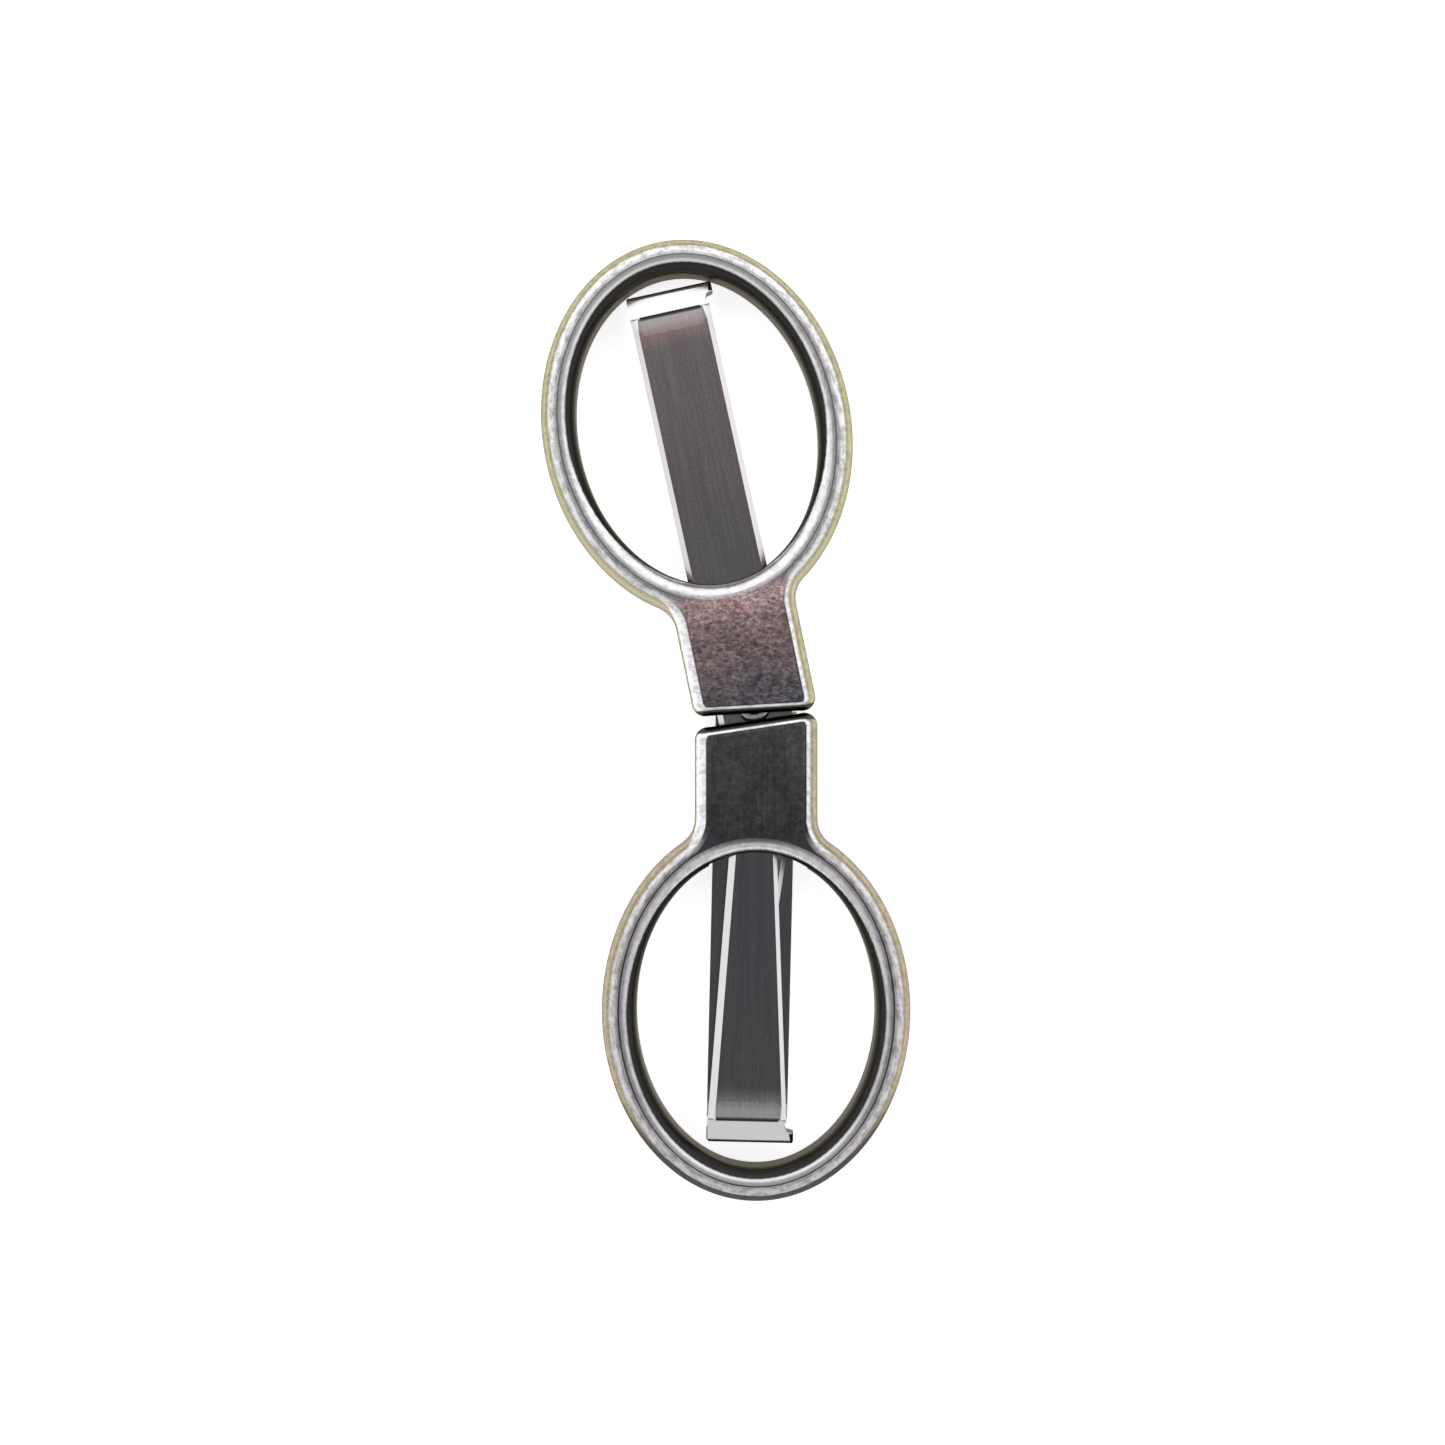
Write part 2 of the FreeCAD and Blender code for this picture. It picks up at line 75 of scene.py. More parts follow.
# ---- node helpers -----------------------------------------------------------------------------------------
class Graph:
    """A node tree with short calls for the nodes that the metals use."""

    def __init__(self, material):
        material.use_nodes = True
        self.tree = material.node_tree
        self.shader = self.tree.nodes["Principled BSDF"]
        self.place = self.tree.nodes.new("ShaderNodeTexCoord").outputs["Object"]
        geometry = self.tree.nodes.new("ShaderNodeNewGeometry")
        self.normal = geometry.outputs["Normal"]
        self.level = self.math("ABSOLUTE", self.split(self.normal)[2])

    def set(self, socket, value):
        if isinstance(value, bpy.types.NodeSocket):
            self.tree.links.new(value, socket)
        else:
            socket.default_value = value

    def math(self, operation, first, second=0.0, third=0.0):
        node = self.tree.nodes.new("ShaderNodeMath")
        node.operation = operation
        for socket, value in zip(node.inputs, (first, second, third)):
            self.set(socket, value)
        return node.outputs[0]

    def times(self, first, second):
        return self.math("MULTIPLY", first, second)

    def plus(self, value, added, factor):
        """value and factor times added."""
        return self.math("MULTIPLY_ADD", added, factor, value)

    def blend(self, first, second, share):
        """share of the first value and the rest of the second."""
        return self.plus(self.times(second, 1 - share), first, share)

    def mapped(self, location, turn, scale=(1, 1, 1)):
        """Object coordinates moved by -location, turned by -turn about Z, then scaled."""
        moved = self.tree.nodes.new("ShaderNodeVectorMath")
        moved.operation = "SUBTRACT"
        self.set(moved.inputs[0], self.place)
        moved.inputs[1].default_value = location
        scaled = self.tree.nodes.new("ShaderNodeVectorMath")
        scaled.operation = "MULTIPLY"
        self.set(scaled.inputs[0], self.turned(moved.outputs[0], turn))
        scaled.inputs[1].default_value = scale
        return scaled.outputs[0]

    def turned(self, vector, turn):
        """A vector as seen from a frame that is turned by turn about Z."""
        node = self.tree.nodes.new("ShaderNodeVectorRotate")
        node.rotation_type = "Z_AXIS"
        self.set(node.inputs["Vector"], vector)
        node.inputs["Angle"].default_value = -turn
        return node.outputs[0]

    def product(self, first, second):
        """Two colours multiplied."""
        node = self.tree.nodes.new("ShaderNodeVectorMath")
        node.operation = "MULTIPLY"
        self.set(node.inputs[0], first)
        self.set(node.inputs[1], second)
        return node.outputs[0]

    def split(self, vector):
        node = self.tree.nodes.new("ShaderNodeSeparateXYZ")
        self.set(node.inputs[0], vector)
        return node.outputs

    def noise(self, vector, scale, detail, roughness, distortion=0.0):
        node = self.tree.nodes.new("ShaderNodeTexNoise")
        self.set(node.inputs["Vector"], vector)
        node.inputs["Scale"].default_value = scale
        node.inputs["Detail"].default_value = detail
        node.inputs["Roughness"].default_value = roughness
        node.inputs["Distortion"].default_value = distortion
        return node.outputs["Fac"]

    def spread(self, value, low, high):
        """0 at low and 1 at high, with a smooth passage between them."""
        node = self.tree.nodes.new("ShaderNodeMapRange")
        node.interpolation_type = "SMOOTHSTEP"
        for name, setting in (("Value", value), ("From Min", low), ("From Max", high)):
            self.set(node.inputs[name], setting)
        return node.outputs[0]

    def slope(self, level, start, end):
        """0 where the surface slopes by start degrees, and 1 where it slopes by end degrees."""
        return self.spread(level, slope_cosine(start), slope_cosine(end))

    def mix(self, factor, first, second):
        node = self.tree.nodes.new("ShaderNodeMix")
        node.data_type = "RGBA"
        self.set(node.inputs["Factor"], factor)
        for socket, colour in zip((node.inputs[6], node.inputs[7]), (first, second)):
            self.set(socket, (*colour, 1) if isinstance(colour, tuple) else colour)
        return node.outputs[2]

    def finish(self, colour, roughness, height, depth, strength):
        """Sets the metal's shader, with the height field as bump of the given depth."""
        bump = self.tree.nodes.new("ShaderNodeBump")
        self.set(bump.inputs["Height"], height)
        bump.inputs["Distance"].default_value = depth
        bump.inputs["Strength"].default_value = strength
        self.set(self.shader.inputs["Base Color"], colour)
        self.set(self.shader.inputs["Roughness"], roughness)
        self.set(self.shader.inputs["Normal"], bump.outputs[0])
        self.shader.inputs["Metallic"].default_value = 1.0


def dress(node_name, material):
    """Gives a carried-over CAD node one material on all its slots."""
    slots = frame["nodes"][node_name].material_slots
    for slot in slots:
        slot.material = material


# ---- castings: sizes --------------------------------------------------------------------------------------
RING_HALF_WIDTH = 12.8 * MM
RING_HALF_LENGTH = 15.8 * MM
MIDLINE_HALF_WIDTH = 11.38 * MM     # of the ellipse that runs along the top of the rim
MIDLINE_HALF_LENGTH = 14.4 * MM
HANDLE_TURN_A = math.radians(11.8)
HANDLE_TURN_B = 0.0


def ring_centre(node_name, turn, ring_end):
    """Centre of a handle's ring, from the node's box. ring_end is 1 for a ring at the high Y end, or -1."""
    low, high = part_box(node_name)
    cosine, sine = math.cos(turn), math.sin(turn)
    reach_x = math.hypot(RING_HALF_WIDTH * cosine, RING_HALF_LENGTH * sine)
    reach_y = math.hypot(RING_HALF_WIDTH * sine, RING_HALF_LENGTH * cosine)
    y = high[1] - reach_y if ring_end > 0 else low[1] + reach_y
    return Vector((low[0] + reach_x, y, (low[2] + high[2]) / 2))


# ---- castings: marks and places ---------------------------------------------------------------------------
# noises: scale (per metre), detail, roughness and distortion
FINE = (9000, 3, 0.6)
WRINKLES = (3200, 4, 0.66, 0.5)
FOLDS = (1300, 3, 0.6)
VEINS = (1900, 2, 0.5, 0.8)
BLOTS = (2100, 4, 0.65)
CLOUD = (330, 3, 0.55)
BRUSHING = (3600, 3, 0.6)
RIM_WEAR = (1.0, 4, 0.62)           # its scale is for the unrolled rim

SKIN_LEAN = math.radians(12)        # the leathery skin's marks run askew to the shank
WRINKLE_STRETCH = (0.75, 1, 1)
FOLD_STRETCH = (0.7, 1, 1)
BRUSHING_STRETCH = (1, 0.05, 1)
WRINKLE_SHARE = 0.6                 # of the skin's relief, the rest is folds
VEIN_HALF_WIDTH = 0.04
CRACKED_FOLDS = (0.5, 0.6)          # cracks show only where the folds' noise is high
RIM_WEAR_SHARE = 0.65               # of the rim's wear, the rest is blots
RIM_WEAR_ACROSS = 34.0              # of the rim's noise, per unit of reach
RIM_WEAR_ROUND = 11.0               # of the rim's noise, per radian

RIM_MIDLINE = (0.985, 1.015)        # from the inner to the outer side, in units of reach
SHANK_START = (12.5 * MM, 15 * MM)  # from the ring's centre, as are the other places along the shank
RING_FACE_END = (16 * MM, 20.5 * MM)
MOUTH_FACE_START = (20 * MM, 25 * MM)
MOUTH_WALL_START = (21 * MM, 22 * MM)
FAR_END = (-7 * MM, -12.5 * MM)
RING_FACE_RAGGED = 5 * MM           # how far the cloud noise moves the face's shades
MOUTH_FACE_RAGGED = 4 * MM


def cast_marks(graph, centre, turn):
    """The noises that a casting's looks are made from."""
    lean = turn - SKIN_LEAN
    wrinkles = graph.noise(graph.mapped(centre, lean, WRINKLE_STRETCH), *WRINKLES)
    folds = graph.noise(graph.mapped(centre, lean, FOLD_STRETCH), *FOLDS)
    veins = graph.noise(graph.mapped(centre, lean, FOLD_STRETCH), *VEINS)
    off_vein = graph.math("ABSOLUTE", graph.math("SUBTRACT", veins, 0.5))
    return SimpleNamespace(
        fine=graph.noise(graph.place, *FINE),
        peel=graph.blend(wrinkles, folds, WRINKLE_SHARE),
        crack=graph.times(graph.spread(off_vein, VEIN_HALF_WIDTH, 0.0), graph.spread(folds, *CRACKED_FOLDS)),
        blots=graph.noise(graph.place, *BLOTS),
        cloud=graph.noise(graph.place, *CLOUD),
        brushing=graph.noise(graph.mapped(centre, turn, BRUSHING_STRETCH), *BRUSHING),
    )


def cast_places(graph, centre, turn, shank_side):
    """Where a point of a casting lies. shank_side is 1 for a shank on the ring's high Y side, or -1."""
    x, y, _ = graph.split(graph.mapped(centre, turn))
    across = graph.math("DIVIDE", x, MIDLINE_HALF_WIDTH)
    down = graph.math("DIVIDE", y, MIDLINE_HALF_LENGTH)
    reach = graph.math("SQRT", graph.math("ADD", graph.times(across, across), graph.times(down, down)))
    # a point on the rim, unrolled, so that wear runs along the rim
    unrolled = graph.tree.nodes.new("ShaderNodeCombineXYZ")
    graph.set(unrolled.inputs[0], graph.times(reach, RIM_WEAR_ACROSS))
    graph.set(unrolled.inputs[1], graph.times(graph.math("ARCTAN2", across, down), RIM_WEAR_ROUND))
    along = graph.times(y, shank_side)
    outside = graph.spread(reach, *RIM_MIDLINE)
    normal_y = graph.split(graph.turned(graph.normal, turn))[1]
    return SimpleNamespace(
        unrolled=unrolled.outputs[0],
        along=along,
        outside=outside,
        inside=graph.math("SUBTRACT", 1.0, outside),
        shank=graph.spread(along, *SHANK_START),
        facing_mouth=graph.times(normal_y, shank_side),
    )


# ---- castings: rim and face -------------------------------------------------------------------------------
# pairs are the noise values between which a mask goes from 0 to 1
WORN = (0.42, 0.62)
INNER_WEAR = 0.75                   # brightness of a worn place, against an unworn one
OUTER_WEAR = 0.55
# the shank's rounded edge, bright as a painted highlight
SHANK_EDGE_HIGHLIGHT = (0.95, 0.94, 0.95)
SHANK_EDGE_HIGHLIGHT_WORN = (0.62, 0.60, 0.63)

PEEL = (0.4, 0.6)
# the skin's hollows darker as painted shade, its ridges lighter as painted highlight
PEEL_HOLLOW_SHADE = (0.52, 0.54, 0.58)
PEEL_RIDGE_HIGHLIGHT = (1.38, 1.31, 1.29)
CRACK = (0.36, 0.36, 0.38)
STREAK_BRUSHING_SHARE = 0.6         # the rest is cloud
STREAKS = (0.38, 0.62)
STREAK_DARK = (0.72, 0.72, 0.72)
STREAK_BRIGHT = (1.3, 1.29, 1.3)
HAZE = (0.38, 0.66)
HAZE_DARK = (0.82, 0.82, 0.82)
HAZE_BRIGHT = (1.32, 1.28, 1.3)
ROLLED_SHADE = (0.3, 0.3, 0.3)            # the face's brightness on the rounding beside it, as painted shade

# slopes, in degrees, between which a mask goes from 0 to 1
ROLLED_SLOPES = (15, 4)
RIM_TOP_SLOPES = (5, 1.8)
SHANK_TOP_SLOPES = (20, 14)


def crown_highlight_colour(graph, marks, places, looks):
    """Top of the rim and edge of the shank, bright as a painted highlight: whiter towards the hole, more worn
    towards the outside.
    """
    rubbed = graph.noise(places.unrolled, *RIM_WEAR)
    worn = graph.spread(graph.blend(rubbed, marks.blots, RIM_WEAR_SHARE), *WORN)
    inner = graph.mix(worn, looks["inner_crown_highlight"], dimmed(looks["inner_crown_highlight"], INNER_WEAR))
    outer = graph.mix(worn, looks["outer_crown_highlight"], dimmed(looks["outer_crown_highlight"], OUTER_WEAR))
    # painted highlight: the inner side goes white towards the ring's far end
    inner = graph.mix(graph.spread(places.along, *FAR_END), inner, WHITE)
    crown_highlight = graph.mix(places.outside, inner, outer)
    shank_edge = graph.mix(worn, SHANK_EDGE_HIGHLIGHT, SHANK_EDGE_HIGHLIGHT_WORN)
    return graph.mix(graph.times(places.shank, places.outside), crown_highlight, shank_edge)


def face_colour(graph, marks, places, looks):
    """The shank's flat face, and the thin line along the top of the rim, which is a painted dark reflection.
    """
    past_ring = graph.spread(graph.plus(places.along, marks.cloud, RING_FACE_RAGGED), *RING_FACE_END)
    near_mouth = graph.spread(graph.plus(places.along, marks.cloud, MOUTH_FACE_RAGGED), *MOUTH_FACE_START)
    face = graph.mix(past_ring, looks["face_by_ring"], looks["face"])
    face = graph.mix(near_mouth, face, looks["face_by_mouth"])
    # painted shade in the skin's hollows and painted highlight on its ridges, from the same noise as the bump
    skin = graph.mix(graph.spread(marks.peel, *PEEL), PEEL_HOLLOW_SHADE, PEEL_RIDGE_HIGHLIGHT)
    skin = graph.mix(marks.crack, skin, CRACK)
    face = graph.product(face, graph.mix(looks["peel"], WHITE, skin))
    streak = graph.blend(marks.brushing, marks.cloud, STREAK_BRUSHING_SHARE)
    streaks = graph.mix(graph.spread(streak, *STREAKS), STREAK_DARK, STREAK_BRIGHT)
    face = graph.product(face, graph.mix(looks["brushed"], WHITE, streaks))
    face = graph.product(face, graph.mix(graph.spread(marks.blots, *HAZE), HAZE_DARK, HAZE_BRIGHT))
    # the face's colour runs on over the rounding beside it, and gets darker there as painted shade
    face = graph.product(face, graph.mix(graph.slope(graph.level, *ROLLED_SLOPES), ROLLED_SHADE, WHITE))
    # the rim's flat top takes a painted dark reflection
    return graph.mix(places.shank, looks["rim_top_reflection"], face)


# ---- castings: walls --------------------------------------------------------------------------------------
# pairs are the values between which a mask goes from 0 to 1
WALL_BLOTS = (0.35, 0.65)
WALL_BLOT = 0.72                    # brightness of a blot, against the clean wall
LEFT_WALL_LATER = 0.42              # the shank's left rounding takes the wall's colour at a steeper slope, so its painted highlight reaches further on the left
LOW_END_WALL = (0.2, 0.5)           # of the surface direction towards low Y
PLAIN_PEEL = (0.36, 0.64)
PLAIN_DARK = (0.27, 0.262, 0.245)
PLAIN_BRIGHT = (0.35, 0.342, 0.322)
# painted shade in the ring's hole and on the edge of the shank's mouth
DEEP_SHOULDER_SHADE = (0.036, 0.035, 0.034)
DEEP_WALL_SHADE = (0.085, 0.078, 0.062)
MOUTH_WALL_SHADE = (0.055, 0.052, 0.042)
MOUTH_WALL_BLUR = 9                 # degrees

OUTER_WALL_SLOPES = (26, 36)
PLAIN_WALL_SLOPES = (66, 80)
INNER_WALL_SLOPES = (19, 28)
DEEP_WALL_SLOPES = (40, 80)


def with_outer_wall(graph, marks, places, looks, colour):
    """Olive shoulders, a painted reflection of warm surroundings, darker as painted shade where they face low
    Y, and plain metal on the upright outer walls.
    """
    normal_x, normal_y, _ = graph.split(graph.normal)
    leftward = graph.times(graph.math("MAXIMUM", graph.times(normal_x, -1.0), 0.0), places.shank)
    shown = graph.plus(graph.level, leftward, LEFT_WALL_LATER)
    outer_wall = graph.times(graph.slope(shown, *OUTER_WALL_SLOPES), places.outside)
    outer = graph.mix(graph.spread(marks.blots, *WALL_BLOTS), looks["wall"], dimmed(looks["wall"], WALL_BLOT))
    # painted shade: the wall darker where it faces low Y
    low_end = graph.spread(graph.times(normal_y, -1.0), *LOW_END_WALL)
    outer = graph.mix(low_end, outer, looks["near_wall"])
    plain = graph.mix(graph.spread(marks.peel, *PLAIN_PEEL), PLAIN_DARK, PLAIN_BRIGHT)
    outer = graph.mix(graph.slope(graph.level, *PLAIN_WALL_SLOPES), outer, plain)
    return graph.mix(outer_wall, colour, outer)


def with_dark_walls(graph, places, inner_wall, looks, colour):
    """Painted shade: dark wall inside the ring, and dark edge of the shank's mouth."""
    deep_shade = graph.mix(graph.slope(graph.level, *DEEP_WALL_SLOPES), DEEP_SHOULDER_SHADE, DEEP_WALL_SHADE)
    colour = graph.mix(inner_wall, colour, deep_shade)
    dark_from = looks["mouth_dark_from"]
    facing = graph.spread(places.facing_mouth, slope_sine(dark_from), slope_sine(dark_from + MOUTH_WALL_BLUR))
    mouth_wall = graph.times(facing, graph.spread(places.along, *MOUTH_WALL_START))
    return graph.mix(mouth_wall, colour, MOUTH_WALL_SHADE)


# ---- castings: the plating --------------------------------------------------------------------------------
PLATING_ROUGHNESS = 0.14
FINE_ROUGHNESS = 0.12
FACE_ROUGHNESS = 0.06
INNER_ROUGHNESS = 0.15
PLATING_GRAIN = 0.3
FINE_HEIGHT = 0.1
BRUSHING_HEIGHT = 0.2
CLOUD_HEIGHT = 0.6
PLATING_BUMP = 0.04 * MM
PLATING_TINT = (0.55, 0.53, 0.48, 1)    # at grazing angles


def cast_plating(name, centre, turn, shank_side, looks):
    """Plated die casting: bright rounded edges as painted highlight, darker flats, warm shoulders as painted
    reflection and dark inner walls as painted shade.
    """
    material = bpy.data.materials.new(name)
    graph = Graph(material)
    marks = cast_marks(graph, centre, turn)
    places = cast_places(graph, centre, turn, shank_side)

    rim_top = graph.slope(graph.level, *RIM_TOP_SLOPES)
    shank_top = graph.slope(graph.level, *SHANK_TOP_SLOPES)
    flat = graph.math("MULTIPLY_ADD", places.shank, graph.math("SUBTRACT", shank_top, rim_top), rim_top)
    shank_face = graph.times(flat, places.shank)
    facing_far = graph.math("MAXIMUM", graph.times(places.facing_mouth, -1.0), 0.0)
    shown = graph.plus(graph.level, facing_far, looks["near_lip"])
    inner_wall = graph.times(graph.slope(shown, *INNER_WALL_SLOPES), places.inside)

    crown_highlight = crown_highlight_colour(graph, marks, places, looks)
    face = face_colour(graph, marks, places, looks)
    colour = graph.mix(flat, crown_highlight, face)
    colour = with_outer_wall(graph, marks, places, looks, colour)
    colour = with_dark_walls(graph, places, inner_wall, looks, colour)

    rough = graph.math("MULTIPLY_ADD", marks.fine, FINE_ROUGHNESS, PLATING_ROUGHNESS)
    rough = graph.plus(rough, shank_face, FACE_ROUGHNESS)
    rough = graph.plus(rough, inner_wall, INNER_ROUGHNESS)

    grain = graph.math("MULTIPLY_ADD", shank_face, looks["grain"], PLATING_GRAIN)
    height = graph.times(grain, marks.peel)
    height = graph.plus(height, marks.fine, FINE_HEIGHT)
    height = graph.plus(height, graph.times(marks.brushing, places.shank), BRUSHING_HEIGHT * looks["brushed"])
    height = graph.plus(height, marks.cloud, CLOUD_HEIGHT)
    graph.finish(colour, rough, height, PLATING_BUMP, 1.0)
    graph.shader.inputs["Specular Tint"].default_value = PLATING_TINT
    return material


# ---- strips -----------------------------------------------------------------------------------------------
TAB_TIP = 4.06 * MM             # from the rivet's axis, across the strip, to the tip of the stop tab
TANG_SHIFT = 0.2 * MM           # from the rivet's axis, across the strip, to its centre line

# noises: scale (per metre), detail and roughness
ROLLING_LINES = (4200, 3, 0.6)
HAIRS = (1500, 2, 0.7)
STAIN_CLOUD = (240, 3, 0.5)
GRIT = (5200, 3, 0.6)
ROLLING_STRETCH = (1, 0.03, 1)
HAIR_STRETCH = (1, 0.01, 1)
HAIR_LEAN = math.radians(24)

# slopes, in degrees, between which a mask goes from 0 to 1
BEVEL_SLOPES = (5, 3.3)
LEVEL_SLOPES = (3.3, 1.3)
STEEP_FACE_SHADE_SLOPES = (42, 56)

# places along the strip: the stain from the rivet, and the others from the end of the fold
STAIN = (17 * MM, 40 * MM)
STAIN_RAGGED = 10 * MM
PAST_DENT = (2.1 * MM, 3.7 * MM)
DENT_SHADE = (4.3 * MM, 2.3 * MM)
DENT_RAGGED = -1.5 * MM
FOLD_END = (2.2 * MM, 3.2 * MM)
CREASE_START = (1.84 * MM, 1.92 * MM)
CREASE_END = (2.26 * MM, 2.05 * MM)
CREASE_HALF_LENGTH = (2.66 * MM, 2.5 * MM)

EVEN_NOISE = (0.35, 0.65)
GRIT_DARK = (0.9, 0.9, 0.9)
GRIT_BRIGHT = (1.08, 1.08, 1.08)
ROLLING_DARK = (0.94, 0.94, 0.94)
ROLLING_BRIGHT = (1.05, 1.05, 1.05)
# painted shade: the colour of every steep face, and below it that of the crease
STEEP_FACE_SHADE = (0.10, 0.095, 0.085)
CREASE_SHADOW = (0.11, 0.10, 0.10)
SCRATCHED = (0.66, 0.72)

STEEL_ROUGHNESS = 0.17
LINE_ROUGHNESS = 0.10
LINE_HEIGHT = 0.03
FLAT_LINE_HEIGHT = 0.22
SCRATCH_HEIGHT = -0.2
GRIT_HEIGHT = 0.1
STEEL_BUMP = 0.02 * MM
STEEL_BUMP_STRENGTH = 0.8
STEEL_TINT = (0.5, 0.5, 0.5, 1)         # at grazing angles


def fold_reach(node_name, turn, fold_side):
    """Distance from the rivet to the end of a strip's fold, from the node's box."""
    low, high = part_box(node_name)
    extent = high[1] - PIVOT.y if fold_side > 0 else PIVOT.y - low[1]
    return (extent - TAB_TIP * abs(math.sin(turn))) / math.cos(turn)


def rolled_steel(name, turn, fold_side, reach, looks):
    """Bare stainless strip: lengthwise rolling lines, fine scratches and a stain towards the fold, with
    painted highlights on the bevels and the fold, a painted reflection in the dent, and painted shade on
    steep faces and along the crease.
    """
    material = bpy.data.materials.new(name)
    graph = Graph(material)
    across, lengthwise, _ = graph.split(graph.mapped(PIVOT, turn))
    along = graph.times(lengthwise, fold_side)
    from_fold = graph.math("SUBTRACT", reach, along)
    lines = graph.noise(graph.mapped(PIVOT, turn, ROLLING_STRETCH), *ROLLING_LINES)
    hairs = graph.noise(graph.mapped(PIVOT, turn + HAIR_LEAN, HAIR_STRETCH), *HAIRS)
    cloud = graph.noise(graph.place, *STAIN_CLOUD)
    grit = graph.noise(graph.place, *GRIT)

    # the flat: next to the fold only what is nearly level, and past the dent the gentle slopes too
    within_bevels = graph.slope(graph.level, *BEVEL_SLOPES)
    past_dent = graph.spread(from_fold, *PAST_DENT)
    levelled = graph.math("MAXIMUM", graph.slope(graph.level, *LEVEL_SLOPES), past_dent)
    flat = graph.times(within_bevels, levelled)

    stain = graph.spread(graph.plus(along, cloud, STAIN_RAGGED), *STAIN)
    face = graph.mix(stain, looks["face"], looks["face_by_fold"])
    # painted reflection: the dent lighter than the flat
    dent = graph.spread(graph.plus(from_fold, cloud, DENT_RAGGED), *DENT_SHADE)
    face = graph.mix(dent, face, looks["dent"])
    face = graph.product(face, graph.mix(graph.spread(grit, *EVEN_NOISE), GRIT_DARK, GRIT_BRIGHT))
    face = graph.product(face, graph.mix(graph.spread(lines, *EVEN_NOISE), ROLLING_DARK, ROLLING_BRIGHT))
    # painted highlight: bright bevels, brighter still at the fold's end
    bevel = graph.mix(graph.spread(from_fold, *FOLD_END), looks["fold"], looks["bevel"])
    colour = graph.mix(flat, bevel, face)
    # painted shade on every steep face
    colour = graph.mix(graph.slope(graph.level, *STEEP_FACE_SHADE_SLOPES), colour, STEEP_FACE_SHADE)

    # painted shadow: a dark line along the foot of the dent's steep end
    off_centre = graph.math("ABSOLUTE", graph.math("SUBTRACT", across, TANG_SHIFT))
    crease_shadow = graph.times(graph.spread(from_fold, *CREASE_START), graph.spread(from_fold, *CREASE_END))
    crease_shadow = graph.times(crease_shadow, graph.spread(off_centre, *CREASE_HALF_LENGTH))
    colour = graph.mix(crease_shadow, colour, CREASE_SHADOW)

    rough = graph.math("MULTIPLY_ADD", lines, LINE_ROUGHNESS, STEEL_ROUGHNESS)
    scratches = graph.times(graph.spread(hairs, *SCRATCHED), SCRATCH_HEIGHT)
    line_height = graph.math("MULTIPLY_ADD", flat, FLAT_LINE_HEIGHT, LINE_HEIGHT)
    height = graph.plus(scratches, lines, line_height)
    height = graph.plus(height, graph.times(grit, flat), GRIT_HEIGHT)
    graph.finish(colour, rough, height, STEEL_BUMP, STEEL_BUMP_STRENGTH)
    graph.shader.inputs["Specular Tint"].default_value = STEEL_TINT
    return material


# ---- rivet ------------------------------------------------------------------------------------------------
RIVET_WEAR = (2200, 3, 0.6)
RIVET_WORN = (0.35, 0.7)
RIVET_BRIGHT = (0.66, 0.64, 0.62)
RIVET_DARK = (0.40, 0.38, 0.35)
RIVET_ROUGHNESS = 0.22
RIVET_WEAR_ROUGHNESS = 0.25
RIVET_BUMP = 0.02 * MM
RIVET_BUMP_STRENGTH = 0.6


def rivet_steel(name):
    """Dull steel, darker and rougher where it is worn."""
    material = bpy.data.materials.new(name)
    graph = Graph(material)
    worn = graph.noise(graph.place, *RIVET_WEAR)
    colour = graph.mix(graph.spread(worn, *RIVET_WORN), RIVET_BRIGHT, RIVET_DARK)
    rough = graph.math("MULTIPLY_ADD", worn, RIVET_WEAR_ROUGHNESS, RIVET_ROUGHNESS)
    graph.finish(colour, rough, worn, RIVET_BUMP, RIVET_BUMP_STRENGTH)
    return material


# ---- each part's own looks --------------------------------------------------------------------------------
# near_wall: the outer wall's colour where it faces low Y, darker there as painted shade
# near_lip: the higher, the steeper the slope where the rounding by the shank takes the inner wall's painted
# shade
# mouth_dark_from: slope in degrees where the painted shade on the edge of the mouth begins
# peel, brushed: how strongly the leathery skin, with its painted shade and highlight, and the brushing show
# on the face
# grain: the face's relief
# the crowns' colours are painted highlights, the rim's top line a painted dark reflection, and the walls'
# colours a painted reflection, darker as painted shade where they face low Y
LOOKS_A = {
    "inner_crown_highlight": (0.96, 0.95, 0.96),
    "outer_crown_highlight": (0.95, 0.93, 0.94),
    "rim_top_reflection": (0.42, 0.40, 0.43),
    "face_by_ring": (0.82, 0.58, 0.56),
    "face": (0.33, 0.25, 0.255),
    "face_by_mouth": (0.18, 0.175, 0.19),
    "wall": (0.46, 0.425, 0.27),
    "near_wall": (0.40, 0.365, 0.25),
    "near_lip": 0.6,
    "mouth_dark_from": 26,
    "peel": 1.0,
    "brushed": 0.15,
    "grain": 2.0,
}
LOOKS_B = {
    "inner_crown_highlight": (0.72, 0.70, 0.72),
    "outer_crown_highlight": (0.76, 0.73, 0.74),
    "rim_top_reflection": (0.14, 0.13, 0.16),
    "face_by_ring": (0.098, 0.095, 0.10),
    "face": (0.110, 0.107, 0.110),
    "face_by_mouth": (0.150, 0.143, 0.150),
    "wall": (0.42, 0.36, 0.26),
    "near_wall": (0.06, 0.06, 0.065),
    "near_lip": 0.35,
    "mouth_dark_from": 24,
    "peel": 0.35,
    "brushed": 0.6,
    "grain": 0.5,
}
